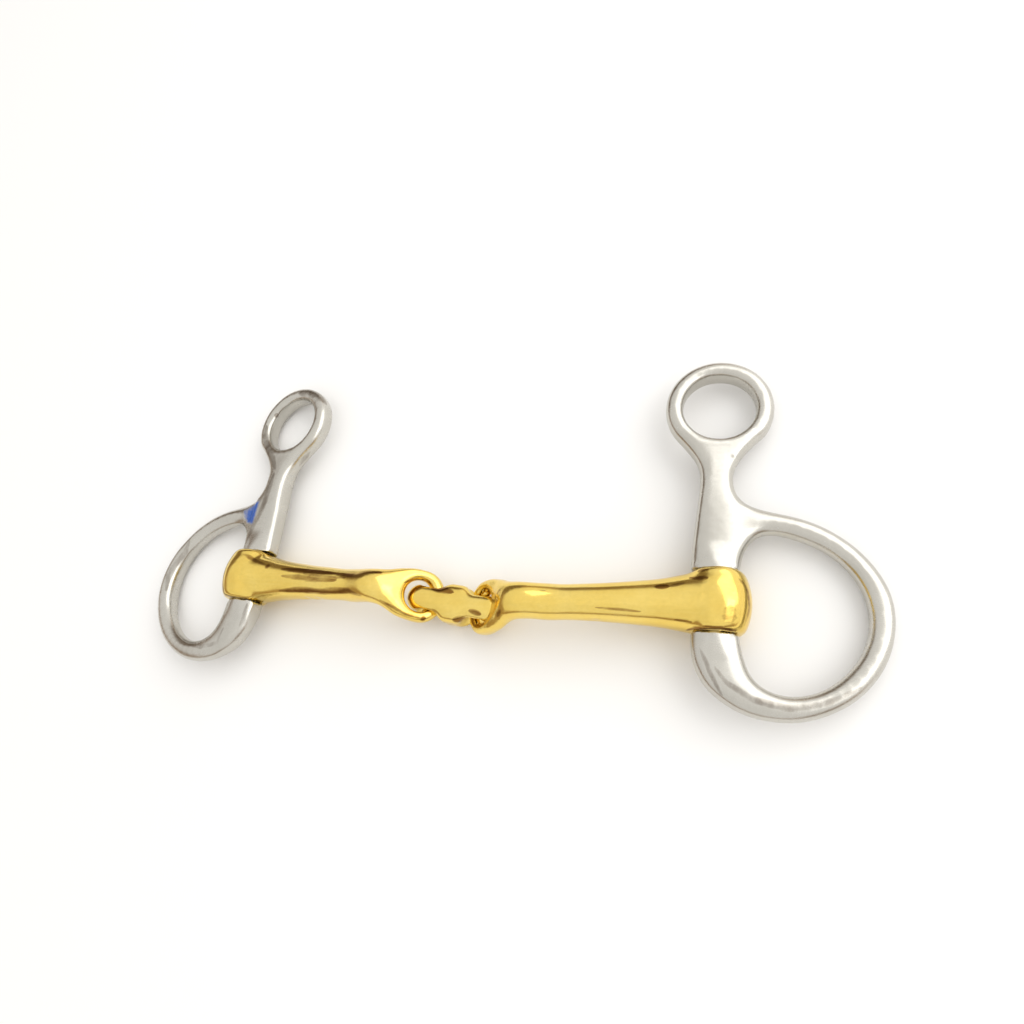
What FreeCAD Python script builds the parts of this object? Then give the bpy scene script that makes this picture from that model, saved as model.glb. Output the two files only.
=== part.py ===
import FreeCAD, Part
import math
import os

# Hanging-cheek, double-jointed snaffle bit, lying flat.
# Five loose pieces: two steel cheeks, two brass cannons with a sleeve and an eye, one brass centre link.
# Millimetres, +Z up, +X along the mouthpiece, +Y along the cheeks towards the small rings.
# The origin is the middle of the lying part's box, on the surface it lies on.

V = FreeCAD.Vector
doc = FreeCAD.newDocument("SnaffleBit")

# ---------------------------------------------------------------- dimensions
sheet = doc.addObject("Spreadsheet::Sheet", "Dimensions")
CELLS = [
    # cheek, in its own plane: x outward, y up the upright, sleeve centre at 0,0
    ("cheekthick", 6.4), ("eyecentre", 57.75), ("eyeoffset", 0.83), ("eyeouter", 15.2), ("eyehole", 10.6),
    ("cheekround", 2.2), ("holeround", 1.3),
    ("journalrad", 4.5), ("shoulderhalf", 9.1), ("reliefrad", 12.0),
    # cannon
    ("sleevehalf", 8.6), ("sleeverad", 8.8), ("sleeveendrad", 7.6), ("borerad", 4.8), ("sleeveround", 2.2),
    ("sleevedrop", -1.1), ("sleeveout", 0.9),
    ("reach", 69.3), ("drop", 3.3), ("eyetilt", 38.0), ("sweep", 1.9),
    ("loopthick", 4.9), ("looptip", 2.1), ("looplong", 8.3), ("loophalf", 8.15), ("loopbar", 3.05), ("loopround", 1.45),
    # centre link
    ("linkspan", 15.0), ("linkdeep", 5.5), ("linkend", 8.6), ("linkhalf", 4.35), ("linkwide", 5.45), ("linkslot", 1.8), ("linkholerad", 3.2), ("linkflare", 7.5),
    ("linkround", 3.5),
    # how the pieces lie
    ("rightx", 76.524), ("righty", -24.388), ("liftz", 8.766),
    ("leftx", -152.9), ("lefty", 6.97),
    ("rollright", 7.4), ("rollleft", 7.4), ("pitchright", 2.3), ("pitchleft", 3.0), ("yawleft", 3.3), ("linkturn", 2.95),
]
for i, (name, value) in enumerate(CELLS, 1):
    sheet.set("A%d" % i, name)
    sheet.set("B%d" % i, repr(float(value)))
    sheet.setAlias("B%d" % i, name)
doc.recompute()


def dim(name):
    return float(sheet.get(name))


def plane(body, role):
    for f in body.Origin.OriginFeatures:
        if f.Role == role:
            return f
    raise RuntimeError(role)


def sketch_on(body, name, role="XY_Plane", offset=None):
    sk = body.newObject("Sketcher::SketchObject", name)
    sk.AttachmentSupport = [(plane(body, role), "")]
    sk.MapMode = "FlatFace"
    if offset is not None:
        sk.AttachmentOffset = offset
    return sk


def knots(points, closed=False):
    """Chord-length parameters, so that uneven spacing doesn't ripple the curve."""
    t = [0.0]
    for a, b in zip(points, points[1:] + (points[:1] if closed else [])):
        t.append(t[-1] + (b - a).Length)
    return t


def bspline(points, tangents=None):
    c = Part.BSplineCurve()
    if tangents:
        c.interpolate(Points=points, Parameters=knots(points), InitialTangent=tangents[0], FinalTangent=tangents[1], Scale=False)
    else:
        c.interpolate(Points=points, Parameters=knots(points))
    return c


def closed_spline(points):
    """A smooth closed curve as two open halves, which a sketch takes."""
    c = Part.BSplineCurve()
    t = knots(points, True)
    c.interpolate(Points=points, Parameters=t, PeriodicFlag=True)
    halves = []
    for lo, hi in ((t[0], t[len(points) // 2]), (t[len(points) // 2], t[-1])):
        h = c.copy()
        h.segment(lo, hi)
        halves.append(h)
    return halves


def must_work(feature):
    doc.recompute()
    if "Invalid" in feature.State or "Error" in feature.State or feature.Shape.isNull() or not feature.Shape.isValid():
        raise RuntimeError("%s failed: %s" % (feature.Name, feature.State))
    return feature


# ---------------------------------------------------------------- cheek outline
# Points down the inner side of the upright, round the rein ring and back up the outer side.
OUTLINE = [(-11.66, 54.09), (-9.46, 51.39), (-7.34, 48.57), (-5.71, 45.61), (-4.79, 42.04), (-4.69, 37.99), (-5.09, 32.97), (-5.79, 25.97), (-6.59, 16.98),
           (-7.04, 7.99), (-7.14, 0), (-6.99, -7.99), (-6.49, -15.96), (-5.11, -21.88), (-1.97, -27.1), (3.16, -31.24), (9.29, -34.11), (16.02, -35.29),
           (22.45, -35.09), (28.69, -33.41), (34.64, -30.54), (40.09, -26.48), (44.74, -20.93), (48.11, -14.29), (49.79, -7.46), (49.99, -1.03), (48.61, 5.5),
           (45.64, 11.43), (41.38, 16.79), (36.42, 21.05), (30.86, 24.42), (24.91, 26.71), (18.93, 28.2), (13.71, 29.41), (9.74, 31.04), (7.05, 33.42),
           (5.6, 36.73), (5.29, 40.52), (6.01, 44.2), (7.53, 47.35), (9.35, 49.99), (11.47, 52.5), (13.57, 54.81)]
WINDOW = [(7.33, 5.92), (6.93, -6.01), (8.03, -16.74), (11.18, -24.12), (18.98, -28.07), (29.17, -26.25), (38.14, -19), (43.47, -7.23), (41.76, 5.47),
          (34.11, 15.13), (23.35, 20.46), (13.55, 21.16), (9.04, 16.06)]
UNIT = 57.75 / 66.0


def make_cheek(label, side):
    """side +1 puts the rein ring at +x, -1 at -x."""
    body = doc.addObject("PartDesign::Body", label)
    body.Label = label
    cx, cy, ro = dim("eyeoffset") * side, dim("eyecentre"), dim("eyeouter")
    pts = [V(x * UNIT * side, y * UNIT, 0) for x, y in OUTLINE]
    lo, hi = math.radians(212.0), math.radians(-32.0)

    def on(a):
        return V(cx + ro * math.cos(a) * side, cy + ro * math.sin(a), 0)

    def tan(a):
        return V(-math.sin(a) * side, math.cos(a), 0)

    # tangents run down the inner side and up the outer side, leaving and meeting the ring smoothly
    path = [on(lo)] + pts + [on(hi)]
    rim = bspline(path, tangents=(tan(lo), tan(hi)))
    ring = Part.Arc(on(hi), V(cx, cy + ro, 0), on(lo))
    sk = sketch_on(body, label + "_outline")
    sk.addGeometry(ring, False)
    sk.addGeometry(rim, False)
    for half in closed_spline([V(x * UNIT * side, y * UNIT, 0) for x, y in WINDOW]):
        sk.addGeometry(half, False)
    hole = sk.addGeometry(Part.Circle(V(cx, cy, 0), V(0, 0, 1), dim("eyehole")), False)
    import Sketcher
    c = sk.addConstraint(Sketcher.Constraint("Radius", hole, dim("eyehole")))
    sk.setExpression("Constraints[%d]" % c, "Dimensions.eyehole")
    sk.setExpression("AttachmentOffset.Base.z", "-Dimensions.cheekthick / 2")
    pad = body.newObject("PartDesign::Pad", label + "_blank")
    pad.Profile = sk
    pad.Length = dim("cheekthick")
    pad.setExpression("Length", "Dimensions.cheekthick")
    must_work(pad)
    half = dim("cheekthick") / 2
    outer, inner = [], []
    for n, e in enumerate(pad.Shape.Edges, 1):
        box = e.BoundBox
        if box.ZLength < 1e-6 and abs(abs(box.ZMin) - half) < 1e-4:
            isbore = e.Curve.TypeId == "Part::GeomCircle" and abs(e.Curve.Radius - dim("eyehole")) < 1e-3
            (inner if isbore else outer).append("Edge%d" % n)
    f1 = body.newObject("PartDesign::Fillet", label + "_rounding")
    f1.Base = (pad, outer)
    f1.Radius = dim("cheekround")
    f1.setExpression("Radius", "Dimensions.cheekround")
    must_work(f1)
    inner = []
    for n, e in enumerate(f1.Shape.Edges, 1):
        if e.Curve.TypeId == "Part::GeomCircle" and abs(e.Curve.Radius - dim("eyehole")) < 1e-3 and e.BoundBox.ZLength < 1e-6:
            inner.append("Edge%d" % n)
    f2 = body.newObject("PartDesign::Fillet", label + "_hole_rounding")
    f2.Base = (f1, inner)
    f2.Radius = dim("holeround")
    f2.setExpression("Radius", "Dimensions.holeround")
    must_work(f2)
    # the upright is turned down to a round journal where the sleeve runs
    sk2 = sketch_on(body, label + "_journal_profile")
    r0, r1, hh = dim("journalrad"), dim("reliefrad"), dim("shoulderhalf")
    off = dim("sleevedrop")
    rect(sk2, r0, off - hh, r1, off + hh, ("Dimensions.journalrad", "Dimensions.reliefrad", "Dimensions.shoulderhalf", "Dimensions.sleevedrop"))
    before = f2.Shape.Volume
    gr = body.newObject("PartDesign::Groove", label + "_journal_relief")
    gr.Profile = sk2
    gr.ReferenceAxis = (sk2, ["V_Axis"])
    gr.Angle = 360
    must_work(gr)
    assert gr.Shape.Volume < before - 100
    sk3 = sketch_on(body, label + "_journal_core")
    rect(sk3, 0.0, off - hh - 0.6, r0, off + hh + 0.6, None)
    rv = body.newObject("PartDesign::Revolution", label + "_journal")
    rv.Profile = sk3
    rv.ReferenceAxis = (sk3, ["V_Axis"])
    rv.Angle = 360
    must_work(rv)
    body.Tip = rv
    return body


def rect(sk, x0, y0, x1, y1, names):
    import Sketcher
    p = [V(x0, y0, 0), V(x1, y0, 0), V(x1, y1, 0), V(x0, y1, 0)]
    g = [sk.addGeometry(Part.LineSegment(p[k], p[(k + 1) % 4]), False) for k in range(4)]
    for k in range(4):
        sk.addConstraint(Sketcher.Constraint("Coincident", g[k], 2, g[(k + 1) % 4], 1))
    for k in (0, 2):
        sk.addConstraint(Sketcher.Constraint("Horizontal", g[k]))
    for k in (1, 3):
        sk.addConstraint(Sketcher.Constraint("Vertical", g[k]))
    a = sk.addConstraint(Sketcher.Constraint("DistanceX", -1, 1, g[0], 1, x0))
    b = sk.addConstraint(Sketcher.Constraint("DistanceX", -1, 1, g[0], 2, x1))
    c = sk.addConstraint(Sketcher.Constraint("DistanceY", -1, 1, g[0], 1, y0))
    d = sk.addConstraint(Sketcher.Constraint("DistanceY", -1, 1, g[2], 1, y1))
    if names:
        sk.setExpression("Constraints[%d]" % a, names[0])
        sk.setExpression("Constraints[%d]" % b, names[1])
        sk.setExpression("Constraints[%d]" % c, "%s - %s" % (names[3], names[2]))
        sk.setExpression("Constraints[%d]" % d, "%s + %s" % (names[3], names[2]))


# ---------------------------------------------------------------- cannon
# Sections of the arm: distance from the bore axis, height above it, slope in degrees, full height along Y, full depth.
def arm_sections():
    t = math.radians(dim("eyetilt"))
    hx, hz = dim("reach"), -dim("drop")

    def eye(d):
        return hx - d * math.cos(t), hz + d * math.sin(t)

    rows = [(2.5, 0.1, 1.5, 17.0, 16.9), (5.6, 0.25, 3.0, 16.0, 15.5), (9.0, 0.55, 5.5, 15.0, 14.3), (13.0, 0.95, 7.0, 13.5, 13.2), (20.0, 1.85, 7.5, 12.1, 12.0),
            (29.0, 3.0, 7.0, 10.9, 10.8), (38.0, 4.0, 6.5, 10.1, 10.0), (46.0, 5.0, 7.0, 9.6, 9.4)]
    x, z = eye(20.5)
    rows.append((x, z - 2.1, -8.0, 9.8, 8.7))
    x, z = eye(17.0)
    rows.append((x, z - 0.9, -24.0, 10.4, 7.5))
    x, z = eye(12.4)
    rows.append((x, z, -dim("eyetilt"), 11.8, 4.6))
    return rows


def make_cannon(label, side):
    """side +1 puts the arm along +x, -1 along -x; the sleeve bore is the y axis."""
    body = doc.addObject("PartDesign::Body", label)
    body.Label = label
    sweep = math.radians(dim("sweep"))
    # flat eye in a plane tilted down towards the link; its own x runs from the hinge bar to the arm
    rot = FreeCAD.Rotation(V(0, 0, 1), -dim("sweep") * side)
    rot = rot.multiply(FreeCAD.Rotation(V(0, 1, 0), dim("eyetilt") * side))
    rot = rot.multiply(FreeCAD.Rotation(V(0, 0, 1), 180.0 if side > 0 else 0.0))
    base = V(dim("reach") * math.cos(sweep) * side, -dim("reach") * math.sin(sweep), -dim("drop"))
    eye = FreeCAD.Placement(base, rot)
    lift = FreeCAD.Placement(V(0, 0, -dim("loopthick") / 2), FreeCAD.Rotation())
    tip, hh, cr, nx = dim("looptip"), dim("loophalf"), 6.9, 19.0
    q = math.sqrt(0.5)
    sk = sketch_on(body, label + "_eye_outline", "XY_Plane", eye.multiply(lift))
    am = V(-tip + cr - cr * q, hh - cr + cr * q, 0)

    def flank(sign):
        pts = [V(-tip + cr, hh * sign, 0), V(7.5, (hh - 0.05) * sign, 0), V(10.2, (hh - 0.5) * sign, 0), V(12.8, (hh - 1.4) * sign, 0), V(15.4, (hh - 2.6) * sign, 0), V(nx, 4.1 * sign, 0)]
        return bspline(pts, tangents=(V(1, 0, 0), V(0.92, -0.39 * sign, 0)))

    sk.addGeometry(Part.LineSegment(V(-tip, -hh + cr, 0), V(-tip, hh - cr, 0)), False)
    sk.addGeometry(Part.Arc(V(-tip, hh - cr, 0), am, V(-tip + cr, hh, 0)), False)
    sk.addGeometry(flank(1), False)
    sk.addGeometry(Part.LineSegment(V(nx, 4.1, 0), V(nx, -4.1, 0)), False)
    sk.addGeometry(flank(-1), False)
    sk.addGeometry(Part.Arc(V(-tip, -hh + cr, 0), V(am.x, -am.y, 0), V(-tip + cr, -hh, 0)), False)
    # its hole: square-ish at the hinge bar, round towards the arm
    ih, ir = dim("loophalf") - dim("loopbar"), 3.2
    x0, x1 = dim("looptip"), dim("looptip") + dim("looplong")
    m = V(x0 + ir - ir * q, ih - ir + ir * q, 0)
    sk.addGeometry(Part.LineSegment(V(x0, -ih + ir, 0), V(x0, ih - ir, 0)), False)
    sk.addGeometry(Part.Arc(V(x0, ih - ir, 0), m, V(x0 + ir, ih, 0)), False)
    sk.addGeometry(Part.LineSegment(V(x0 + ir, ih, 0), V(x1 - ih, ih, 0)), False)
    sk.addGeometry(Part.Arc(V(x1 - ih, ih, 0), V(x1, 0, 0), V(x1 - ih, -ih, 0)), False)
    sk.addGeometry(Part.LineSegment(V(x1 - ih, -ih, 0), V(x0 + ir, -ih, 0)), False)
    sk.addGeometry(Part.Arc(V(x0 + ir, -ih, 0), V(m.x, -m.y, 0), V(x0, -ih + ir, 0)), False)
    pd = body.newObject("PartDesign::Pad", label + "_eye")
    pd.Profile = sk
    pd.Length = dim("loopthick")
    pd.setExpression("Length", "Dimensions.loopthick")
    must_work(pd)
    # round every edge of the eye except those of the end that is buried in the arm
    near = eye.inverse()
    edges = []
    for n, e in enumerate(pd.Shape.Edges, 1):
        pts = [near.multVec(v) for v in e.discretize(5)]
        flat = max(p.z for p in pts) - min(p.z for p in pts) < 1e-4
        if flat and not all(p.x > nx - 1e-3 for p in pts):
            edges.append("Edge%d" % n)
    fl = body.newObject("PartDesign::Fillet", label + "_eye_rounding")
    fl.Base = (pd, edges)
    fl.Radius = dim("loopround")
    fl.setExpression("Radius", "Dimensions.loopround")
    must_work(fl)
    # arm
    sections = []
    for k, (d, z, slope, tall, deep) in enumerate(arm_sections()):
        rot = FreeCAD.Rotation(V(0, 0, 1), -dim("sweep") * side)
        rot = rot.multiply(FreeCAD.Rotation(V(0, 1, 0), -slope * side))
        base = V(d * math.cos(sweep) * side, -d * math.sin(sweep), z)
        s = sketch_on(body, "%s_section_%d" % (label, k), "YZ_Plane")
        frame = plane(body, "YZ_Plane").Placement
        want = FreeCAD.Placement(base, rot).multiply(FreeCAD.Placement(V(0, 0, 0), frame.Rotation))
        s.AttachmentOffset = frame.inverse().multiply(want)
        s.addGeometry(Part.Ellipse(V(tall / 2, 0, 0), V(0, deep / 2, 0), V(0, 0, 0)), False)
        sections.append(s)
    doc.recompute()
    lf = body.newObject("PartDesign::AdditiveLoft", label + "_arm")
    lf.Profile = sections[0]
    lf.Sections = sections[1:]
    lf.Ruled = False
    must_work(lf)
    # sleeve
    sh, sr, se, rd = dim("sleevehalf"), dim("sleeverad"), dim("sleeveendrad"), dim("sleeveround")
    # a slightly barrelled outside with rounded ends, thicker at its outer side than towards the arm
    sk = sketch_on(body, label + "_sleeve_profile", "XY_Plane", FreeCAD.Placement(V(-dim("sleeveout") * side, 0, 0), FreeCAD.Rotation()))
    sk.addGeometry(Part.LineSegment(V(0, -sh, 0), V(se - rd, -sh, 0)), False)
    sk.addGeometry(Part.Arc(V(se - rd, -sh, 0), V(se - rd + rd * q, -sh + rd - rd * q, 0), V(se, -sh + rd, 0)), False)
    sk.addGeometry(Part.Arc(V(se, -sh + rd, 0), V(sr, 0, 0), V(se, sh - rd, 0)), False)
    sk.addGeometry(Part.Arc(V(se, sh - rd, 0), V(se - rd + rd * q, sh - rd + rd * q, 0), V(se - rd, sh, 0)), False)
    sk.addGeometry(Part.LineSegment(V(se - rd, sh, 0), V(0, sh, 0)), False)
    sk.addGeometry(Part.LineSegment(V(0, sh, 0), V(0, -sh, 0)), False)
    rv = body.newObject("PartDesign::Revolution", label + "_sleeve")
    rv.Profile = sk
    rv.ReferenceAxis = (sk, ["V_Axis"])
    rv.Angle = 360
    must_work(rv)
    # bore of the sleeve
    sk = sketch_on(body, label + "_bore_circle", "XZ_Plane", FreeCAD.Placement(V(0, 0, -15), FreeCAD.Rotation()))
    import Sketcher
    g = sk.addGeometry(Part.Circle(V(0, 0, 0), V(0, 0, 1), dim("borerad")), False)
    c = sk.addConstraint(Sketcher.Constraint("Radius", g, dim("borerad")))
    sk.setExpression("Constraints[%d]" % c, "Dimensions.borerad")
    pk = body.newObject("PartDesign::Pocket", label + "_bore")
    pk.Profile = sk
    pk.Length = 30
    pk.Reversed = True
    before = rv.Shape.Volume
    must_work(pk)
    assert pk.Shape.Volume < before - 900, (before, pk.Shape.Volume)
    body.Tip = pk
    return body


# ---------------------------------------------------------------- centre link
def make_link(label):
    body = doc.addObject("PartDesign::Body", label)
    body.Label = label
    c, deep, hw, mid = dim("linkspan") / 2, dim("linkdeep"), dim("linkhalf"), dim("linkwide")
    end = c + dim("linkend")
    sk = sketch_on(body, label + "_outline", "XY_Plane", FreeCAD.Placement(V(0, 0, -deep), FreeCAD.Rotation()))
    k = end - hw

    def flank(sign):
        # straight past the hinge bars, bulging to a lozenge between them
        pts = [V(-k, -hw, 0), V(-c, -hw, 0), V(-c + 2.6, -hw - 0.1, 0), V(-2.6, -mid + 0.15, 0), V(0, -mid, 0),
               V(2.6, -mid + 0.15, 0), V(c - 2.6, -hw - 0.1, 0), V(c, -hw, 0), V(k, -hw, 0)]
        return bspline([p * sign for p in pts], tangents=(V(sign, 0, 0), V(sign, 0, 0)))

    sk.addGeometry(flank(1), False)
    sk.addGeometry(Part.Arc(V(k, -hw, 0), V(end, 0, 0), V(k, hw, 0)), False)
    sk.addGeometry(flank(-1), False)
    sk.addGeometry(Part.Arc(V(-k, hw, 0), V(-end, 0, 0), V(-k, -hw, 0)), False)
    pd = body.newObject("PartDesign::Pad", label + "_blank")
    pd.Profile = sk
    pd.Length = 2 * deep
    pd.setExpression("Length", "2 * Dimensions.linkdeep")
    must_work(pd)
    edges = ["Edge%d" % n for n, e in enumerate(pd.Shape.Edges, 1) if e.BoundBox.ZLength < 1e-6]
    fl = body.newObject("PartDesign::Fillet", label + "_rounding")
    fl.Base = (pd, edges)
    fl.Radius = dim("linkround")
    fl.setExpression("Radius", "Dimensions.linkround")
    must_work(fl)
    tip = fl
    # each hole flares to both sides, so the hinge bar can lie askew in it, and is a little long towards its end
    for s, out, word in ((-1, 0, "left"), (-1, 1, "left_long"), (1, 0, "right"), (1, 1, "right_long")):
        at = s * (c + out * dim("linkslot"))
        sk = sketch_on(body, "%s_%s_hole_profile" % (label, word), "XY_Plane", FreeCAD.Placement(V(at, 0, 0), FreeCAD.Rotation()))
        rr, fr, top = dim("linkholerad") - 0.01 * out, dim("linkflare"), hw + 1.5
        edge = rr + top * top / (2 * fr)
        sk.addGeometry(Part.LineSegment(V(0, -top, 0), V(edge, -top, 0)), False)
        sk.addGeometry(Part.Arc(V(edge, -top, 0), V(rr, 0, 0), V(edge, top, 0)), False)
        sk.addGeometry(Part.LineSegment(V(edge, top, 0), V(0, top, 0)), False)
        sk.addGeometry(Part.LineSegment(V(0, top, 0), V(0, -top, 0)), False)
        gr = body.newObject("PartDesign::Groove", "%s_%s_hole" % (label, word))
        gr.Profile = sk
        gr.ReferenceAxis = (sk, ["V_Axis"])
        gr.Angle = 360
        before = tip.Shape.Volume
        must_work(gr)
        assert gr.Shape.Volume < before - 5
        tip = gr
    body.Tip = tip
    return body


# ---------------------------------------------------------------- build and place
def upright_frame(x, y, z, yaw, pitch):
    """Frame of an upright: y up the cheek, turned by yaw about z and tipped down at the small ring."""
    return FreeCAD.Placement(V(x, y, z), FreeCAD.Rotation(V(0, 0, 1), yaw).multiply(FreeCAD.Rotation(V(1, 0, 0), -pitch)))


right_frame = upright_frame(dim("rightx"), dim("righty"), dim("liftz"), 0.0, dim("pitchright"))
left_frame = upright_frame(dim("rightx") + dim("leftx"), dim("righty") + dim("lefty"), dim("liftz"), -dim("yawleft"), dim("pitchleft"))
slide = FreeCAD.Placement(V(0, dim("sleevedrop"), 0), FreeCAD.Rotation())

right_cheek = make_cheek("right_cheek", 1)
left_cheek = make_cheek("left_cheek", -1)
right_cannon = make_cannon("right_cannon", -1)
left_cannon = make_cannon("left_cannon", 1)
centre_link = make_link("centre_link")

right_cheek.Placement = right_frame.multiply(FreeCAD.Placement(V(0, 0, 0), FreeCAD.Rotation(V(0, 1, 0), dim("rollright"))))
left_cheek.Placement = left_frame.multiply(FreeCAD.Placement(V(0, 0, 0), FreeCAD.Rotation(V(0, 1, 0), -dim("rollleft"))))
right_cannon.Placement = right_frame.multiply(slide)
left_cannon.Placement = left_frame.multiply(slide)


def hinge_point(cannon, side):
    s = math.radians(dim("sweep"))
    return cannon.Placement.multVec(V(dim("reach") * math.cos(s) * side, -dim("reach") * math.sin(s), -dim("drop")))


pr, pl = hinge_point(right_cannon, -1), hinge_point(left_cannon, 1)
mid, span = (pr + pl) * 0.5, pr - pl
yaw = math.degrees(math.atan2(span.y, span.x)) + dim("linkturn")  # turned a little in the slack of its holes
dip = math.degrees(math.atan2(span.z, math.hypot(span.x, span.y)))
print("hinge bars", pl, pr, "span", span.Length, "yaw", yaw, "dip", dip)
centre_link.Placement = FreeCAD.Placement(mid, FreeCAD.Rotation(V(0, 0, 1), yaw).multiply(FreeCAD.Rotation(V(0, 1, 0), -dip)))

doc.recompute()
pieces = [right_cheek, left_cheek, right_cannon, left_cannon, centre_link]
for obj in doc.Objects:
    if "Invalid" in obj.State or "Error" in obj.State:
        raise RuntimeError("%s is not good: %s" % (obj.Name, obj.State))
for piece in pieces:
    s = piece.Shape
    if s.isNull() or not s.isValid() or len(s.Solids) != 1:
        raise RuntimeError("%s has a bad shape (%d solids)" % (piece.Label, len(s.Solids)))
    print(piece.Label, "volume %.0f" % s.Volume, "box", [round(v, 2) for v in (s.BoundBox.XMin, s.BoundBox.YMin, s.BoundBox.ZMin, s.BoundBox.XMax, s.BoundBox.YMax, s.BoundBox.ZMax)])
os.makedirs("parts", exist_ok=True)
for piece in pieces:
    piece.Shape.exportStep("parts/%s.step" % piece.Label)
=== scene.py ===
import bpy
import math
import numpy as np
from mathutils import Matrix, Vector
from mathutils.kdtree import KDTree

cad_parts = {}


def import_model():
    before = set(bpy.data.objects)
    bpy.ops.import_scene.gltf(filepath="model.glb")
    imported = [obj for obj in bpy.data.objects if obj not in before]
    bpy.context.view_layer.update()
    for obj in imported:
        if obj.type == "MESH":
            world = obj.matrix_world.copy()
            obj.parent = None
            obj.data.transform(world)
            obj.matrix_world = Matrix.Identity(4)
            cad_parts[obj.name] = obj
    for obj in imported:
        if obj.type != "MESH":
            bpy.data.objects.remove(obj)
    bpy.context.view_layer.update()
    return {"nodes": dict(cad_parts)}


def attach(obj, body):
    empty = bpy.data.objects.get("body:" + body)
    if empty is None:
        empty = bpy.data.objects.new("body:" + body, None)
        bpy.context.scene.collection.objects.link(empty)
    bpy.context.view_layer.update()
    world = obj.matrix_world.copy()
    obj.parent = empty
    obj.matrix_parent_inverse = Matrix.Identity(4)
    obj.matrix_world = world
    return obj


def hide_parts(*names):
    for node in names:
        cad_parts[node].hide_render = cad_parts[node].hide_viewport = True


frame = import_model()
MM = 0.001

# Frames of the two cheeks (mm): origin at the upright's axis, x outward-inward in the cheek's plane, y up the upright, z its face.
CHEEK = {
    "right": (Vector((76.524, -24.388, 8.766)), Matrix(((0.991671, 0.0, 0.128796), (-0.005169, 0.999194, 0.039798), (-0.128692, -0.040132, 0.990872)))),
    "left": (Vector((-76.376, -17.418, 8.766)), Matrix(((0.990415, 0.057485, -0.125594), (-0.050355, 0.996974, 0.059228), (0.128619, -0.052336, 0.990312)))),
}


# ------------------------------------------------------------------ shapes
def copy_mesh(node, name, voxel):
    """A closed, even mesh of a CAD node's shape, ready to be worked on."""
    src = frame["nodes"][node]
    o = bpy.data.objects.new(name, src.data.copy())
    bpy.context.scene.collection.objects.link(o)
    o.data.materials.clear()
    m = o.modifiers.new("even", "REMESH")
    m.mode = "VOXEL"
    m.voxel_size = voxel
    m.adaptivity = 0.0
    dg = bpy.context.evaluated_depsgraph_get()
    me = bpy.data.meshes.new_from_object(o.evaluated_get(dg))
    o.modifiers.clear()
    old = o.data
    o.data = me
    bpy.data.meshes.remove(old)
    me.name = name
    return o


def points(me):
    co = np.zeros(len(me.vertices) * 3)
    me.vertices.foreach_get("co", co)
    return co.reshape(-1, 3)


def relax(co, me, rounds, weight, keep=0.0):
    """Pulls each point towards its neighbours' middle; with keep, every second round pushes back, which keeps the volume."""
    e = np.zeros(len(me.edges) * 2, np.int64)
    me.edges.foreach_get("vertices", e)
    e = e.reshape(-1, 2)
    n = len(co)
    count = np.bincount(e.ravel(), minlength=n).astype(float)
    w = (weight if np.ndim(weight) else np.full(n, float(weight)))[:, None]
    for k in range(rounds):
        s = np.stack([np.bincount(e[:, 0], co[e[:, 1], c], n) + np.bincount(e[:, 1], co[e[:, 0], c], n) for c in range(3)], 1)
        step = s / count[:, None] - co
        co = co + w * step * (1.0 if not (keep and k % 2) else -keep)
    return co


def put(me, co):
    me.vertices.foreach_set("co", co.astype(np.float32).ravel())
    me.update()
    for p in me.polygons:
        p.use_smooth = True


def outward(me, co):
    """The surface's outward direction at each point."""
    put(me, co)
    nv = np.zeros(len(me.vertices) * 3, np.float32)
    me.vertices.foreach_get("normal", nv)
    return nv.reshape(-1, 3).astype(float)


def ease(x, lo, hi):
    t = np.clip((x - lo) / (hi - lo), 0.0, 1.0)
    return t * t * (3 - 2 * t)


def waver(co, seed, sizes, amount):
    """Slow unevenness of hand-finished metal: a few crossing waves, in the units of co."""
    rng = np.random.default_rng(seed)
    out = np.zeros(len(co))
    for size in sizes:
        for _ in range(5):
            d = rng.normal(size=3)
            d /= np.linalg.norm(d)
            out += np.sin(co @ d * (2 * math.pi / (size * rng.uniform(0.8, 1.3))) + rng.uniform(0, 6.28)) * size
    return out / (np.abs(out).max() + 1e-9) * amount


def marks(me, co, strokes):
    """Stores on each point how strongly it is darkened, partly by tarnish and partly by painted dark reflection and
    painted shade: strokes are (strength, half width in mm, points in mm along the surface).
    """
    p = co / MM
    value = np.zeros(len(p))
    for strength, half, line in strokes:
        line = [np.array(q, float) for q in line]
        if len(line) == 1:
            line = line * 2
        dist = np.full(len(p), 1e9)
        share = np.zeros(len(p))
        total = sum(np.linalg.norm(b - a) for a, b in zip(line, line[1:]))
        done = 0.0
        for a, b in zip(line, line[1:]):
            ab = b - a
            t = np.clip(((p - a) @ ab) / max(ab @ ab, 1e-9), 0, 1)
            d = np.linalg.norm(p - a - t[:, None] * ab, axis=1)
            share = np.where(d < dist, (done + t * np.linalg.norm(ab)) / max(total, 1e-9), share)
            dist = np.minimum(dist, d)
            done += np.linalg.norm(ab)
        # a stroke thins out towards both of its ends
        thin = half * (0.25 + 0.75 * np.sqrt(np.clip(np.sin(math.pi * share), 0, 1))) if total > 0.01 else half
        value = np.maximum(value, strength * (1.0 - ease(dist, thin * 0.45, thin * 1.6)))
    at = me.attributes.new("tarnish_and_painted_reflection", "FLOAT", "POINT")
    at.data.foreach_set("value", value.astype(np.float32))
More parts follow.
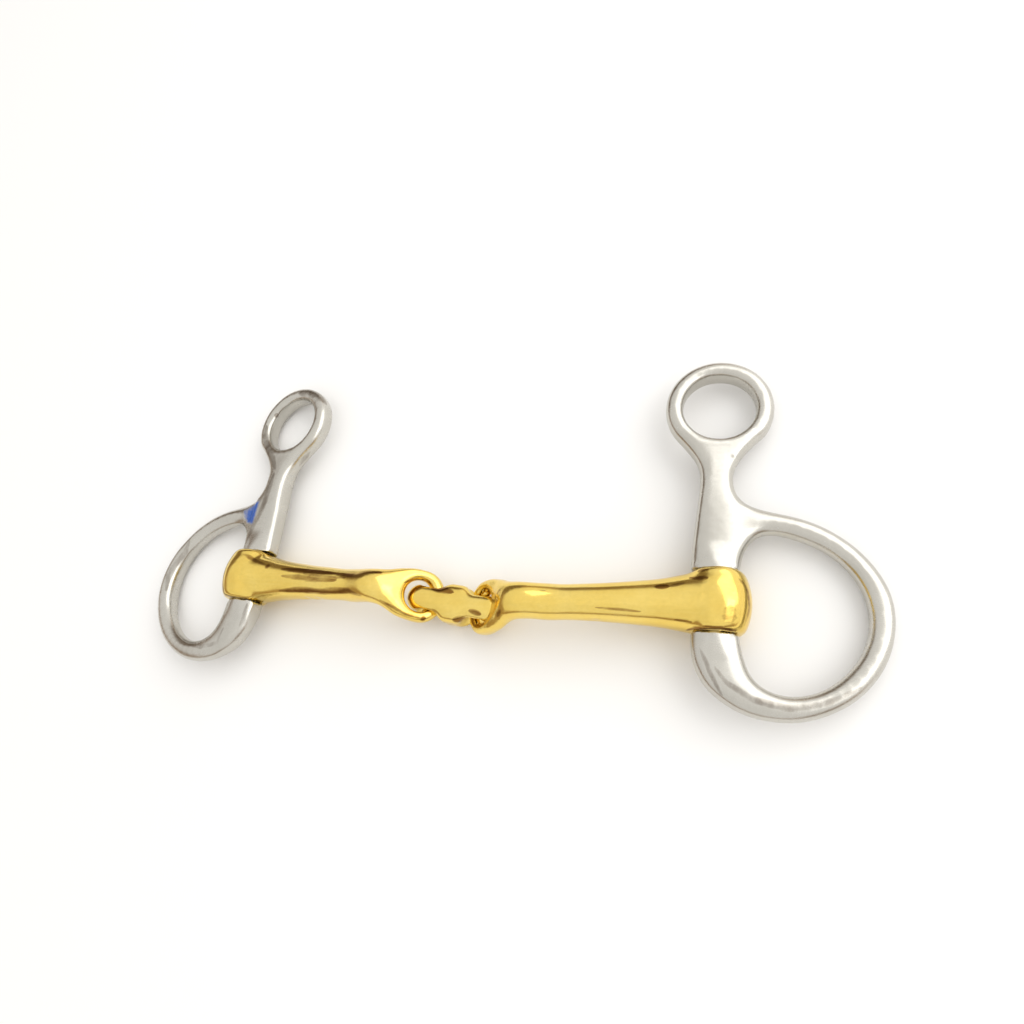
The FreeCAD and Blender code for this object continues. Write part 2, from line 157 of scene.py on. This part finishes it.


# where polish residue sits and where dark reflections and shade are painted on each piece, in mm in the part's own
# frame
STROKES = {
    "left_cannon": [
        (0.9, 0.9, [(-65.5, -16.4, 15.8)]),
        (0.80, 1.0, [(-59.6, -17.5, 16.1), (-46.9, -18.5, 16.7), (-37.7, -19.4, 17.3)]),
        (0.70, 1.1, [(-37.7, -19.4, 17.3), (-27.5, -20.6, 19.8), (-20.2, -19.6, 18.9)]),
        (0.62, 0.95, [(-58.6, -19.9, 16.6), (-51.5, -20.5, 17.0), (-43.9, -21.4, 17.6), (-36.5, -21.7, 17.9)]),
        (0.55, 0.5, [(-50.0, -19.4, 17.0), (-42.0, -20.4, 17.5), (-33.0, -21.2, 18.4)]),
        (0.75, 1.1, [(-60.0, -24.3, 14.6), (-52.9, -24.2, 15.3), (-41.7, -24.8, 16.3), (-31.0, -25.2, 18.2), (-25.7, -26.6, 18.8)]),
        (0.90, 0.7, [(-53.9, -24.5, 15.2), (-43.7, -24.8, 16.1)]),
        (0.60, 0.5, [(-20.1, -27.8, 18.0), (-17.1, -29.3, 16.0), (-13.5, -30.9, 13.2), (-9.0, -31.6, 9.6)]),
        (0.80, 0.8, [(-9.0, -31.6, 9.6)]),
        (0.60, 0.5, [(-14.5, -21.4, 14.3), (-12.2, -19.5, 11.5), (-10.9, -19.6, 7.6)]),
        (0.62, 0.8, [(-82.0, -21.5, 16.1), (-83.6, -15.5, 14.5), (-80.5, -13.0, 14.5), (-75.5, -12.6, 15.5), (-70.9, -14.4, 15.7), (-65.5, -16.4, 15.8)]),
        (0.62, 0.8, [(-82.3, -21.5, 16.0), (-81.4, -26.0, 15.0), (-77.3, -27.3, 14.9), (-72.0, -27.0, 13.5)]),
    ],
    "right_cannon": [
        (0.60, 0.5, [(17.6, -25.6, 17.8), (18.8, -24.5, 18.5)]),
        (0.60, 0.6, [(18.0, -32.1, 16.9), (19.5, -30.5, 18.6)]),
        (0.50, 0.45, [(20.6, -25.0, 19.7), (32.0, -24.8, 18.4)]),
        (0.60, 0.42, [(46.3, -28.9, 16.7), (58.2, -29.6, 15.5)]),
        (0.85, 0.8, [(61.8, -22.8, 15.6), (65.6, -22.7, 15.8)]),
        (0.60, 0.6, [(65.6, -22.7, 15.8), (69.7, -21.7, 15.7)]),
        (0.85, 0.7, [(70.6, -20.1, 14.7), (75.6, -20.6, 16.7)]),
        (0.75, 0.6, [(72.7, -18.2, 14.4), (75.8, -18.2, 15.6)]),
        (0.46, 1.9, [(81.2, -28.0, 16.6), (81.0, -30.4, 16.0), (82.4, -30.8, 15.2)]),
        (0.85, 0.75, [(69.6, -33.6, 10.8), (72.0, -33.6, 13.6), (75.5, -33.6, 15.5), (78.8, -33.6, 15.5), (82.6, -33.6, 13.0)]),
        (0.45, 0.4, [(66.8, -31.3, 14.2), (71.4, -31.9, 14.4)]),
        (0.50, 0.7, [(83.1, -20.2, 14.5), (85.0, -22.5, 13.0), (85.6, -27.5, 12.0), (84.3, -32.0, 12.3)]),
    ],
    "centre_link": [
        (0.75, 0.8, [(-14.4, -26.0, 10.4), (-14.3, -24.5, 10.7), (-12.0, -22.7, 11.0), (-9.0, -21.6, 9.9)]),
        (0.95, 1.15, [(-7.4, -22.4, 9.8), (-3.0, -22.7, 10.5), (0.6, -23.6, 11.0)]),
        (0.65, 0.75, [(-13.9, -26.0, 10.7), (-12.3, -27.4, 9.6), (-9.5, -28.5, 8.6)]),
        (0.75, 0.8, [(6.4, -29.0, 11.0), (10.4, -30.2, 10.8)]),
        (0.92, 1.5, [(0.6, -31.2, 9.4), (5.0, -31.6, 8.6), (8.5, -31.4, 8.0)]),
        (0.80, 0.8, [(2.6, -31.7, 8.8), (4.6, -31.4, 6.0), (5.5, -31.0, 3.0)]),
    ],
    "right_cheek": [
        (0.42, 0.9, [(77.1, -43.1, 13.1), (80.0, -46.9, 12.9), (86.6, -50.7, 12.0), (94.6, -52.2, 10.8), (103.3, -50.3, 9.5), (111.3, -45.9, 8.0)]),
        (0.45, 0.6, [(73.1, -37.5, 13.0), (76.0, -44.5, 13.0), (79.0, -50.3, 12.3)]),
        (0.30, 0.7, [(71.3, 13.0, 10.6), (70.9, -1.7, 10.8), (70.6, -14.3, 11.2)]),
    ],
    "left_cheek": [
        (0.55, 1.3, [(-80.2, -6.6, 11.4), (-79.6, -2.6, 11.2), (-78.9, 0.9, 11.1), (-77.4, 4.3, 11.1), (-76.5, 9.3, 10.9), (-75.9, 14.5, 10.6), (-75.5, 19.8, 10.2)]),
        (0.55, 1.3, [(-75.5, 21.4, 10.1), (-77.9, 25.5, 9.4), (-82.6, 31.1, 8.3), (-85.4, 36.5, 7.6), (-86.3, 41.1, 7.3)]),
        (0.52, 1.6, [(-73.3, 52.8, 8.3), (-68.1, 52.4, 8.8), (-63.4, 50.1, 8.9), (-60.5, 47.2, 8.2)]),
        (0.45, 0.9, [(-64.0, 28.6, 7.6), (-66.5, 25.8, 7.2), (-67.9, 23.8, 7.0)]),
        (0.40, 0.6, [(-74.6, -36.5, 12.6), (-73.6, -33.0, 13.0), (-72.9, -28.5, 13.1)]),
        (0.36, 1.1, [(-115.7, -22.8, 7.0), (-116.5, -16.8, 6.8), (-114.9, -12.6, 6.5), (-112.1, -8.4, 6.1), (-110.5, -3.5, 6.6)]),
        (0.36, 0.9, [(-106.7, -36.3, 7.0), (-97.3, -41.8, 10.1), (-89.4, -43.3, 12.1), (-82.2, -41.9, 12.9), (-80.7, -36.9, 13.1)]),
        (0.70, 0.8, [(-83.7, 44.7, 6.3), (-82.9, 46.3, 6.4)]),
    ],
}


def cheek_piece(side, sign):
    """The steel casting: round rings, a crowned upright that stands a little proud of the ring where it branches off."""
    o = copy_mesh(side + "_cheek", side + "_cheek_casting", 0.00036)
    me = o.data
    co = points(me)
    origin, rot = CHEEK[side]
    R = np.array(rot)
    T = np.array(origin)

    def local(c):
        q = (c / MM - T) @ R
        return q[:, 0] * sign, q[:, 1], q[:, 2], q

    def world(q):
        return (q @ R.T + T) * MM

    # crown: the further a point lies from the rim, the higher the face, as on a ground and polished casting
    x, y, z, q = local(co)
    rim = np.nonzero((np.abs(z) < 0.45) & (np.hypot(x, z) > 5.0))[0]
    tree = KDTree(len(rim))
    for k, i in enumerate(rim):
        tree.insert((x[i], y[i], 0.0), k)
    tree.balance()
    d = np.array([tree.find((a, b, 0.0))[2] for a, b in zip(x, y)])
    was = np.where(d < 2.2, 1.0 + np.sqrt(np.clip(2.2 ** 2 - (2.2 - np.clip(d, 0, 2.2)) ** 2, 0, None)), 3.2)
    wide = 4.6
    now = 1.0 + 2.4 * np.sqrt(1.0 - (1.0 - np.clip(d, 0, wide) / wide) ** 2)
    low = ease(-y, 9.5, 19.0)
    amount = np.maximum.reduce([low, 0.7 * ease(x, 7.5, 11.0), np.full(len(y), 0.35)]) * (1.0 - 0.6 * ease(y, 38.0, 46.0))
    amount = amount * ease(np.abs(y + 1.1), 9.2, 12.0)
    q[:, 2] *= 1.0 + amount * (now / was - 1.0)
    co = world(q)
    x, y, z, q = local(co)
    # the journal and the two shoulders stay as they are, because the sleeve runs there
    free = 1.0 - (1.0 - ease(np.abs(y + 1.1), 8.8, 10.6)) * (1.0 - ease(np.hypot(x, z), 9.5, 11.0))
    low = ease(-y, 9.5, 19.0)
    ring = ease(x, 7.5, 11.0)
    top = ease(y, 40.0, 48.0)
    soft = free * np.maximum.reduce([0.6 * low, 0.5 * ring, 0.45 * top, np.full(len(y), 0.25)])
    co = relax(co, me, 10, 0.5 * free, keep=1.02)
    co = relax(co, me, 70, 0.5 * soft)
    co = co + outward(me, co) * (soft * 0.40 * MM)[:, None]
    x, y, z, q = local(co)
    # the upright's faces are crowned, and step down to the ring where it branches off
    along = ease(y, -18.0, -12.0) * (1.0 - ease(y, 30.0, 44.0))
    across = (1.0 - np.clip(np.abs(x - 0.1) / 6.5, 0, 1) ** 2.4)
    face = np.sign(z) * ease(np.abs(z), 0.6, 2.4)
    crown = 0.35 * along * across
    deep, wide = (0.62, 1.8) if side == "left" else (0.22, 5.0)
    step = deep * ease(x, 6.2 - wide / 2, 6.2 + wide / 2) * ease(y, -6.0, 8.0) * (1.0 - ease(y, 34.0, 42.0)) * (1.0 - 0.7 * ease(x, 12.0, 22.0))
    q[:, 2] += face * (crown - step) * free
    co = world(q)
    co = co + outward(me, co) * (free * waver(co / MM, 11 + sign, (11.0, 18.0), 0.035) * MM)[:, None]
    # next to the sleeve the upright swells to the round of its journal, and meets the sleeve with a narrow gap
    x, y, z, q = local(co)
    away = np.abs(y + 1.1)
    w = (1.0 - ease(away, 9.6, 17.0)) * (away > 8.85)
    round_z = 4.55 * np.sqrt(np.clip(1.0 - (x / 6.5) ** 2, 0, None))
    target = np.maximum(np.abs(z), w * round_z + (1 - w) * np.abs(z))
    q[:, 2] = np.where((w > 0) & (np.abs(z) > 0.8), np.sign(z) * (np.abs(z) + (target - np.abs(z)) * ease(np.abs(z), 0.8, 2.0)), q[:, 2])
    near = (np.abs(away - 9.1) < 0.42) & (np.hypot(x, z) > 4.7) & (np.hypot(x, z) < 9.0)
    q[:, 1] = np.where(near, q[:, 1] - np.sign(y + 1.1) * 0.15, q[:, 1])
    co = world(q)
    co = relax(co, me, 8, 0.4 * np.maximum(free, 0.8 * ((away > 9.4) & (away < 12.0) & (np.abs(z) > 1.5))), keep=1.02)
    x, y, z, q = local(co)
    even = ease(-y, 16.0, 22.0)
    if side == "right":
        even = np.maximum(even, ease(x, 4.0, 9.0) * ease(y, 2.0, 9.0) * (1.0 - ease(y, 30.0, 36.0)))
    co = relax(co, me, 40, 0.5 * even * free)
    co = co + outward(me, co) * (0.05 * even * free * MM)[:, None]
    put(me, co)
    marks(me, co, STROKES[side + "_cheek"])
    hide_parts(side + "_cheek")
    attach(o, side + "_side")
    return o


def cannon_piece(side):
    """The brass bar: sleeve, arm and eye flow into each other without a crease."""
    o = copy_mesh(side + "_cannon", side + "_cannon_forging", 0.00036)
    me = o.data
    co = points(me)
    T = np.array(CHEEK[side][0])
    d = np.hypot(co[:, 0] / MM - T[0], co[:, 1] / MM - T[1] - 1.0)
    d = np.abs(co[:, 0] / MM - T[0]) if True else d
    r = np.hypot(co[:, 0] / MM - T[0], co[:, 2] / MM - T[2])
    # inside the bore, on the sleeve's ends and at the hinge bar little moves
    free = ease(r, 5.2, 6.6)
    neck = ease(d, 36.0, 46.0) * (1.0 - ease(d, 58.5, 62.5))
    root = ease(d, 2.0, 7.0) * (1.0 - ease(d, 14.0, 22.0))
    eye = ease(d, 58.0, 62.0)
    soft = free * np.clip(0.06 + 0.94 * neck + 0.60 * root + 0.10 * eye, 0, 1)
    co = relax(co, me, 10, 0.5 * free, keep=1.02)
    for part in range(3):
        co = relax(co, me, 34, 0.5 * soft)
        co = co + outward(me, co) * (soft * (0.10 + 0.14 * neck) * MM)[:, None]
    co = co + outward(me, co) * (free * (1.0 - eye) * waver(co / MM, 5 if side == "left" else 9, (8.0, 14.0), 0.075) * MM)[:, None]
    co = relax(co, me, 6, 0.4 * free, keep=1.02)
    put(me, co)
    marks(me, co, STROKES[side + "_cannon"])
    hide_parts(side + "_cannon")
    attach(o, side + "_bar")
    return o


def link_piece():
    o = copy_mesh("centre_link", "centre_link_forging", 0.0003)
    me = o.data
    co = points(me)
    co = relax(co, me, 12, 0.5, keep=1.02)
    co = relax(co, me, 14, 0.45)
    co = co + outward(me, co) * 0.06 * MM
    co = co + outward(me, co) * (waver(co / MM, 3, (6.0, 10.0), 0.05) * MM)[:, None]
    # the lozenge between the two eyes bellies out a little further than its gauge
    mid = 0.5 * (co.min(axis=0) + co.max(axis=0))
    u, v = np.array((0.970, -0.243, 0.0)), np.array((0.243, 0.970, 0.0))
    belly = 0.10 * (1.0 - ease(np.abs((co - mid) @ u) / MM, 2.0, 6.5))
    co = co + (belly * ((co - mid) @ v))[:, None] * v
    put(me, co)
    marks(me, co, STROKES["centre_link"])
    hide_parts("centre_link")
    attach(o, "link")
    return o


# ------------------------------------------------------------------ materials
class Nodes:
    def __init__(self, mat):
        self.tree = mat.node_tree
        self.n = mat.node_tree.nodes
        self.l = mat.node_tree.links

    def new(self, kind, **props):
        node = self.n.new(kind)
        for k, v in props.items():
            setattr(node, k, v)
        return node

    def link(self, a, b):
        self.l.new(a, b)

    def noise(self, vector, scale, detail=4.0, rough=0.55, distortion=0.0):
        t = self.new("ShaderNodeTexNoise")
        t.inputs["Scale"].default_value = scale
        t.inputs["Detail"].default_value = detail
        t.inputs["Roughness"].default_value = rough
        t.inputs["Distortion"].default_value = distortion
        self.link(vector, t.inputs["Vector"])
        return t.outputs["Fac"]

    def ramp(self, fac, stops):
        r = self.new("ShaderNodeValToRGB")
        e = r.color_ramp.elements
        e[0].position, e[0].color = stops[0][0], (*stops[0][1], 1.0) if len(stops[0][1]) == 3 else stops[0][1]
        e[1].position, e[1].color = stops[-1][0], (*stops[-1][1], 1.0) if len(stops[-1][1]) == 3 else stops[-1][1]
        for pos, col in stops[1:-1]:
            k = e.new(pos)
            k.color = (*col, 1.0) if len(col) == 3 else col
        self.link(fac, r.inputs["Fac"])
        return r.outputs["Color"]

    def math(self, op, a, b=None, c=None, clamp=False):
        m = self.new("ShaderNodeMath", operation=op, use_clamp=clamp)
        for i, v in enumerate((a, b, c)):
            if v is None:
                continue
            if isinstance(v, (int, float)):
                m.inputs[i].default_value = v
            else:
                self.link(v, m.inputs[i])
        return m.outputs[0]

    def mapping(self, vector, scale=(1, 1, 1), rotation=(0, 0, 0), location=(0, 0, 0)):
        m = self.new("ShaderNodeMapping")
        m.inputs["Scale"].default_value = scale
        m.inputs["Rotation"].default_value = rotation
        m.inputs["Location"].default_value = location
        self.link(vector, m.inputs["Vector"])
        return m.outputs["Vector"]

    def mix(self, fac, a, b, blend="MIX"):
        m = self.new("ShaderNodeMix", data_type="RGBA", blend_type=blend)
        for sock, v in ((m.inputs[0], fac), (m.inputs[6], a), (m.inputs[7], b)):
            if isinstance(v, (int, float)):
                sock.default_value = v
            elif isinstance(v, tuple):
                sock.default_value = (*v, 1.0)
            else:
                self.link(v, sock)
        return m.outputs[2]

    def tarnish_and_painted_reflection(self, vector, scale, spread):
        """The stored darkening, partly tarnish and partly painted dark reflection and painted shade, with ragged,
        streaky edges.
        """
        a = self.new("ShaderNodeAttribute", attribute_name="tarnish_and_painted_reflection")
        rag = self.noise(vector, scale, 5.0, 0.65)
        v = self.math("ADD", a.outputs["Fac"], self.range(rag, 0.3, 0.7, -spread, spread))
        v = self.math("MULTIPLY", v, self.range(a.outputs["Fac"], 0.02, 0.22, 0.0, 1.0))
        return self.range(v, 0.10, 0.80, 0.0, 0.92)

    def range(self, v, a, b, c, d):
        m = self.new("ShaderNodeMapRange")
        for i, q in enumerate((a, b, c, d), 1):
            m.inputs[i].default_value = q
        self.link(v, m.inputs[0])
        return m.outputs[0]


def spot(N, vector, centre, radius, soft, squash=(1, 1, 1)):
    """1 inside a round patch about a point, 0 outside. centre and sizes in metres."""
    sub = N.new("ShaderNodeVectorMath", operation="SUBTRACT")
    N.link(vector, sub.inputs[0])
    sub.inputs[1].default_value = centre
    mul = N.new("ShaderNodeVectorMath", operation="MULTIPLY")
    N.link(sub.outputs[0], mul.inputs[0])
    mul.inputs[1].default_value = squash
    ln = N.new("ShaderNodeVectorMath", operation="LENGTH")
    N.link(mul.outputs[0], ln.inputs[0])
    return N.range(ln.outputs["Value"], radius, radius + soft, 1.0, 0.0)


def steel(side):
    mat = bpy.data.materials.new("satin_steel_" + side)
    mat.use_nodes = True
    N = Nodes(mat)
    bsdf = N.n["Principled BSDF"]
    tc = N.new("ShaderNodeTexCoord").outputs["Object"]
    bsdf.inputs["Metallic"].default_value = 1.0
    # broad cloudiness, fine grain and the long marks that a polishing wheel leaves
    broad = N.noise(tc, 70.0, 3.0)
    fine = N.noise(tc, 900.0, 6.0, 0.6)
    lines = N.noise(N.mapping(tc, scale=(1.0, 0.06, 1.0)), 1500.0, 4.0, 0.6)
    cross = N.noise(N.mapping(tc, scale=(0.08, 1.0, 1.0), rotation=(0, 0, 0.5)), 1300.0, 4.0, 0.6)
    tone = N.ramp(broad, [(0.25, (0.52, 0.50, 0.45)), (0.5, (0.57, 0.55, 0.50)), (0.8, (0.62, 0.60, 0.55))])
    tone = N.mix(N.range(fine, 0.40, 0.70, 0.0, 0.10), tone, (0.45, 0.43, 0.385))
    tone = N.mix(N.range(lines, 0.45, 0.65, 0.0, 0.08), tone, (0.68, 0.66, 0.61))
    rough = N.range(broad, 0.3, 0.7, 0.19, 0.28)
    rough = N.math("ADD", rough, N.range(fine, 0.3, 0.7, -0.02, 0.03))
    rough = N.math("ADD", rough, N.range(cross, 0.45, 0.6, 0.0, 0.03))
    if side == "left":
        # a dab of blue marking paint in the crotch between the upright and the rein ring, on the upper face
        wob = N.noise(tc, 900.0, 3.0)
        reach = N.math("ADD", N.math("MULTIPLY", wob, 0.0011), -0.00055)
        inside = None
        for at, out in (((-0.0853, 0.0040, 0.0), (-0.83, -0.56, 0.0)), ((-0.0820, 0.0085, 0.0), (-0.35, 0.94, 0.0)), ((-0.0794, 0.0052, 0.0), (0.99, -0.06, 0.0)), ((-0.0822, 0.0012, 0.0), (-0.25, -0.97, 0.0)), ((0.0, 0.0, 0.0088), (0.0, 0.0, -1.0))):
            sub = N.new("ShaderNodeVectorMath", operation="SUBTRACT")
            N.link(tc, sub.inputs[0])
            sub.inputs[1].default_value = at
            dot = N.new("ShaderNodeVectorMath", operation="DOT_PRODUCT")
            N.link(sub.outputs[0], dot.inputs[0])
            dot.inputs[1].default_value = Vector(out).normalized()
            side_of = N.range(N.math("ADD", dot.outputs["Value"], reach), -0.0006, 0.0005, 1.0, 0.0)
            inside = side_of if inside is None else N.math("MULTIPLY", inside, side_of)
        paint = inside
        tone = N.mix(paint, tone, (0.022, 0.095, 0.40))
        N.link(N.math("SUBTRACT", 1.0, paint, clamp=True), bsdf.inputs["Metallic"])
        rough = N.math("ADD", rough, N.math("MULTIPLY", paint, 0.22))
        pit = spot(N, tc, (-0.08263, 0.04503, 0.0075), 0.0003, 0.0009)
    else:
        pit = spot(N, tc, (0.0814, 0.01678, 0.0097), 0.00025, 0.0007)
    # painted dark reflections and painted shade, partly real tarnish: the stored strokes darken the steel towards a
    # brown grey
    stain_and_painted_reflection = N.tarnish_and_painted_reflection(N.mapping(tc, scale=(1.0, 0.45, 1.0)), 420.0, 0.22)
    tone = N.mix(stain_and_painted_reflection, tone, (0.20, 0.165, 0.13))
    tone = N.mix(N.math("MULTIPLY", pit, 0.65), tone, (0.16, 0.15, 0.13))
    N.link(tone, bsdf.inputs["Base Color"])
    N.link(rough, bsdf.inputs["Roughness"])
    bump = N.new("ShaderNodeBump")
    bump.inputs["Strength"].default_value = 0.35
    bump.inputs["Distance"].default_value = 0.00012
    wave = N.noise(tc, 180.0, 2.0)
    h = N.math("MULTIPLY", wave, 0.9)
    h = N.math("ADD", h, N.math("MULTIPLY", fine, 0.018))
    h = N.math("ADD", h, N.math("MULTIPLY", lines, 0.012))
    h = N.math("SUBTRACT", h, N.math("MULTIPLY", pit, 1.2))
    N.link(h, bump.inputs["Height"])
    N.link(bump.outputs["Normal"], bsdf.inputs["Normal"])
    return mat


def brass(name, seed):
    mat = bpy.data.materials.new(name)
    mat.use_nodes = True
    N = Nodes(mat)
    bsdf = N.n["Principled BSDF"]
    tc = N.mapping(N.new("ShaderNodeTexCoord").outputs["Object"], location=(seed * 0.37, seed * 0.11, 0.0))
    bsdf.inputs["Metallic"].default_value = 1.0
    broad = N.noise(tc, 80.0, 3.0)
    fine = N.noise(tc, 1000.0, 6.0, 0.6)
    lines = N.noise(N.mapping(tc, scale=(0.05, 1.0, 1.0)), 1500.0, 4.0, 0.6)
    tone = N.ramp(broad, [(0.25, (0.80, 0.555, 0.12)), (0.5, (0.86, 0.63, 0.155)), (0.8, (0.90, 0.69, 0.21))])
    tone = N.mix(N.range(fine, 0.40, 0.70, 0.0, 0.15), tone, (0.68, 0.44, 0.08))
    tone = N.mix(N.range(lines, 0.45, 0.65, 0.0, 0.10), tone, (0.93, 0.76, 0.30))
    rough = N.range(broad, 0.3, 0.7, 0.11, 0.19)
    rough = N.math("ADD", rough, N.range(fine, 0.3, 0.7, -0.02, 0.04))
    # painted dark reflections and painted shade, partly real tarnish: the stored strokes darken the brass towards a
    # deep brown
    stain_and_painted_reflection = N.tarnish_and_painted_reflection(N.mapping(tc, scale=(0.30, 1.0, 1.0)), 480.0, 0.26)
    tone = N.mix(stain_and_painted_reflection, tone, (0.21, 0.085, 0.014))
    N.link(tone, bsdf.inputs["Base Color"])
    N.link(rough, bsdf.inputs["Roughness"])
    bump = N.new("ShaderNodeBump")
    bump.inputs["Strength"].default_value = 0.4
    bump.inputs["Distance"].default_value = 0.00015
    wave = N.noise(tc, 190.0, 2.0)
    h = N.math("MULTIPLY", wave, 0.9)
    h = N.math("ADD", h, N.math("MULTIPLY", fine, 0.02))
    h = N.math("ADD", h, N.math("MULTIPLY", lines, 0.015))
    N.link(h, bump.inputs["Height"])
    N.link(bump.outputs["Normal"], bsdf.inputs["Normal"])
    return mat


for side, sign in (("right", 1), ("left", -1)):
    o = cheek_piece(side, sign)
    o.data.materials.append(steel(side))
    o = cannon_piece(side)
    o.data.materials.append(brass("golden_brass_" + side, sign))
o = link_piece()
o.data.materials.append(brass("golden_brass_link", 0))


# ------------------------------------------------------------------ stage, light, camera
def floor():
    me = bpy.data.meshes.new("floor")
    s = 40.0
    me.from_pydata([(-s, -s, 0), (s, -s, 0), (s, s, 0), (-s, s, 0)], [], [(0, 1, 2, 3)])
    o = bpy.data.objects.new("floor", me)
    bpy.context.scene.collection.objects.link(o)
    mat = bpy.data.materials.new("pale_floor")
    mat.use_nodes = True
    N = Nodes(mat)
    b = N.n["Principled BSDF"]
    b.inputs["Roughness"].default_value = 0.9
    b.inputs["Specular IOR Level"].default_value = 0.1
    b.inputs["Base Color"].default_value = (0.925, 0.92, 0.912, 1)
    me.materials.append(mat)
    return o


floor()

world = bpy.data.worlds.new("tent")
bpy.context.scene.world = world
world.use_nodes = True
W = Nodes(world)
bg = W.n["Background"]
gen = W.new("ShaderNodeTexCoord").outputs["Generated"]
sep = W.new("ShaderNodeSeparateXYZ")
W.link(gen, sep.inputs[0])
patch = W.noise(gen, 2.6, 3.0, 0.55)
# the room round the table: open and bright to one side, darker to the others, seen above the table's edge
turn = W.math("ARCTAN2", sep.outputs["Y"], sep.outputs["X"])
turn = W.math("ADD", W.math("DIVIDE", turn, 2 * math.pi), W.range(patch, 0.3, 0.7, -0.02, 0.02))
turn = W.math("FRACT", W.math("ADD", turn, 1.0))


def around(stops):
    """A value for each direction round the table, from (degrees, value) pairs."""
    stops = [(stops[-1][0] - 360.0, stops[-1][1])] + stops + [(stops[0][0] + 360.0, stops[0][1])]
    full = []
    for deg in range(0, 361, 360 // 24):
        for (a, u), (b, v) in zip(stops, stops[1:]):
            if a <= deg <= b:
                full.append((deg / 360.0, u + (v - u) * (deg - a) / (b - a)))
                break
    return W.ramp(turn, [(p, (v, v, v)) for p, v in full])


top_of_dark = around([(0, 0.30), (60, 0.30), (85, 0.55), (105, 0.70), (135, 0.68), (155, 0.60), (175, 0.60), (200, 0.64), (225, 0.56), (250, 0.47), (285, 0.48), (305, 0.62), (325, 0.60), (345, 0.38)])
dark = around([(0, 0.95), (60, 0.95), (85, 0.45), (105, 0.20), (145, 0.20), (170, 0.36), (205, 0.38), (230, 0.42), (255, 0.36), (290, 0.34), (320, 0.32), (345, 0.75)])
bright = around([(0, 1.15), (35, 1.20), (70, 1.12), (100, 1.00), (150, 0.96), (200, 0.92), (240, 0.95), (280, 0.98), (320, 1.00), (345, 1.10)])
# heights run from 0 at -30 degrees (sine -0.5) to 1 at the sine of 60 degrees
rise = W.math("ADD", W.range(sep.outputs["Z"], -0.5, 0.87, 0.0, 1.0), W.range(patch, 0.3, 0.7, -0.07, 0.07))
above = W.range(W.math("SUBTRACT", rise, top_of_dark), -0.06, 0.09, 0.0, 1.0)
brown = W.mix(1.0, dark, (1.12, 0.86, 0.64), "MULTIPLY")
brown = W.mix(W.range(dark, 0.55, 0.95, 0.0, 1.0), brown, dark)
level = W.mix(above, brown, bright)
level = W.mix(W.range(sep.outputs["Z"], 0.80, 0.97, 0.0, 1.0), level, (1.04, 1.04, 1.04))
tent = W.mix(1.0, level, (1.0, 0.99, 0.97), "MULTIPLY")
W.link(tent, bg.inputs["Color"])
bg.inputs["Strength"].default_value = 1.0


def area(name, loc, target, size, power, color=(1, 1, 1)):
    d = bpy.data.lights.new(name, "AREA")
    d.shape = "RECTANGLE"
    d.size, d.size_y = size
    d.energy = power
    d.color = color
    o = bpy.data.objects.new(name, d)
    o.location = loc
    o.rotation_mode = "QUATERNION"
    o.rotation_quaternion = (Vector(target) - Vector(loc)).to_track_quat("-Z", "Y")
    bpy.context.scene.collection.objects.link(o)
    return o


area("soft_key", (0.62, 0.42, 0.62), (0, 0, 0), (1.1, 0.8), 3.0)
area("soft_side", (0.80, -0.12, 0.70), (0, 0, 0), (0.6, 0.5), 0.95)

cam_data = bpy.data.cameras.new("camera")
cam = bpy.data.objects.new("camera", cam_data)
bpy.context.scene.collection.objects.link(cam)
bpy.context.scene.camera = cam
cam_data.sensor_width = 36.0
cam_data.lens = 36.0 * 711.81 / 1024.0
cam_data.shift_x = (512.0 - 515.52) / 1024.0
cam_data.shift_y = (542.42 - 512.0) / 1024.0
cam_data.clip_start, cam_data.clip_end = 0.01, 20.0
look = Vector((-0.341303, 0.296224, -0.892056)).normalized()
up = Vector((0.016802, 0.950814, 0.309307))
up = (up - look * up.dot(look)).normalized()
right = look.cross(up)
m = Matrix((right, up, -look)).transposed().to_4x4()
m.translation = Vector((91.834, -71.1745, 200.9364)) * MM
cam.matrix_world = m

bpy.context.scene.view_settings.view_transform = "Standard"
